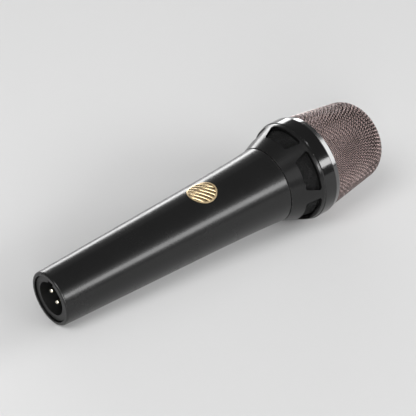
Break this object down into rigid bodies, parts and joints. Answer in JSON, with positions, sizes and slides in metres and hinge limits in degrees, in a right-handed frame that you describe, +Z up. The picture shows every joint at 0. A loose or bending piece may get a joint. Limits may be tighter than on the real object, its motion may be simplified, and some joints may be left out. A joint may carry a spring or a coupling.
{
  "type": "handheld dynamic microphone",
  "caption": "Handheld dynamic vocal microphone lying on its side, with a slim tapered handle, a flared vented head shell, a clamp ring and a woven wire basket.",
  "frame": {"origin": "on the surface that the microphone lies on, at the middle of its outer box", "axes": "+X from the tail towards the grille, +Z up; the microphone's own axis rises 4.8 degrees towards the grille"},
  "size_m": [0.1898, 0.0496, 0.0499],
  "materials": {
    "handle_paint": "satin",
    "inlay_metal": "satin",
    "insert_plastic": "satin",
    "contact_metal": "polished",
    "spring_bronze": "satin",
    "screw_steel": "satin",
    "lead_jacket": "matte",
    "holder_plastic": "matte",
    "board_laminate": "satin",
    "mount_rubber": "matte",
    "chamber_plastic": "satin",
    "frame_plastic": "satin",
    "yoke_steel": "satin",
    "magnet_nickel": "polished",
    "pole_steel": "satin",
    "cap_aluminium": "satin",
    "damping_felt": "matte",
    "diaphragm_film": "satin",
    "coil_copper": "satin",
    "seal_rubber": "matte",
    "shell_paint": "satin",
    "vent_foam": "matte",
    "ring_metal": "polished",
    "rim_steel": "satin",
    "liner_foam": "matte",
    "mesh_steel": "polished"
  },
  "bodies": {
    "handle_body": {"handle": "handle_paint", "inlay_disc": "inlay_metal", "connector_insert": "insert_plastic", "contact_1": "contact_metal", "contact_2": "contact_metal", "contact_3": "contact_metal", "ground_spring": "spring_bronze", "set_screw": "screw_steel", "signal_leads": "lead_jacket", "capsule_holder": "holder_plastic"},
    "capsule_body": {"terminal_board": "board_laminate", "rubber_mount": "mount_rubber", "rear_chamber": "chamber_plastic", "capsule_frame": "frame_plastic", "magnet_yoke": "yoke_steel", "magnet": "magnet_nickel", "pole_plate": "pole_steel", "capsule_cap": "cap_aluminium", "damping_disc": "damping_felt"},
    "diaphragm_body": {"diaphragm": "diaphragm_film", "voice_coil": "coil_copper"},
    "seal_body": {"seal_ring": "seal_rubber"},
    "head_body": {"head_shell": "shell_paint", "vent_foam": "vent_foam", "clamp_ring": "ring_metal", "grille_rim": "rim_steel", "foam_liner": "liner_foam", "grille_mesh": "mesh_steel"}
  },
  "joints": [
    {"name": "head_unscrew", "type": "hinge", "parent": "handle_body", "child": "seal_body", "pos_m": [0.03032, 0, 0.02331], "axis": [0.9965, 0, 0.0835], "range_deg": [0, 1801]},
    {"name": "head_travel", "type": "slide", "parent": "seal_body", "child": "head_body", "axis": [0.9965, 0, 0.0835], "range_m": [0, 0.00625]},
    {"name": "capsule_float", "type": "slide", "parent": "handle_body", "child": "capsule_body", "axis": [0.9965, 0, 0.0835], "range_m": [-0.0006, 0.0006], "stiffness_N_per_m": 2500},
    {"name": "diaphragm_move", "type": "slide", "parent": "capsule_body", "child": "diaphragm_body", "axis": [0.9965, 0, 0.0835], "range_m": [-0.0003, 0.0003], "stiffness_N_per_m": 20}
  ],
  "couplings": [
    {"joint": "head_unscrew", "follows": "head_travel", "rad_per_m": 5026.5}
  ]
}
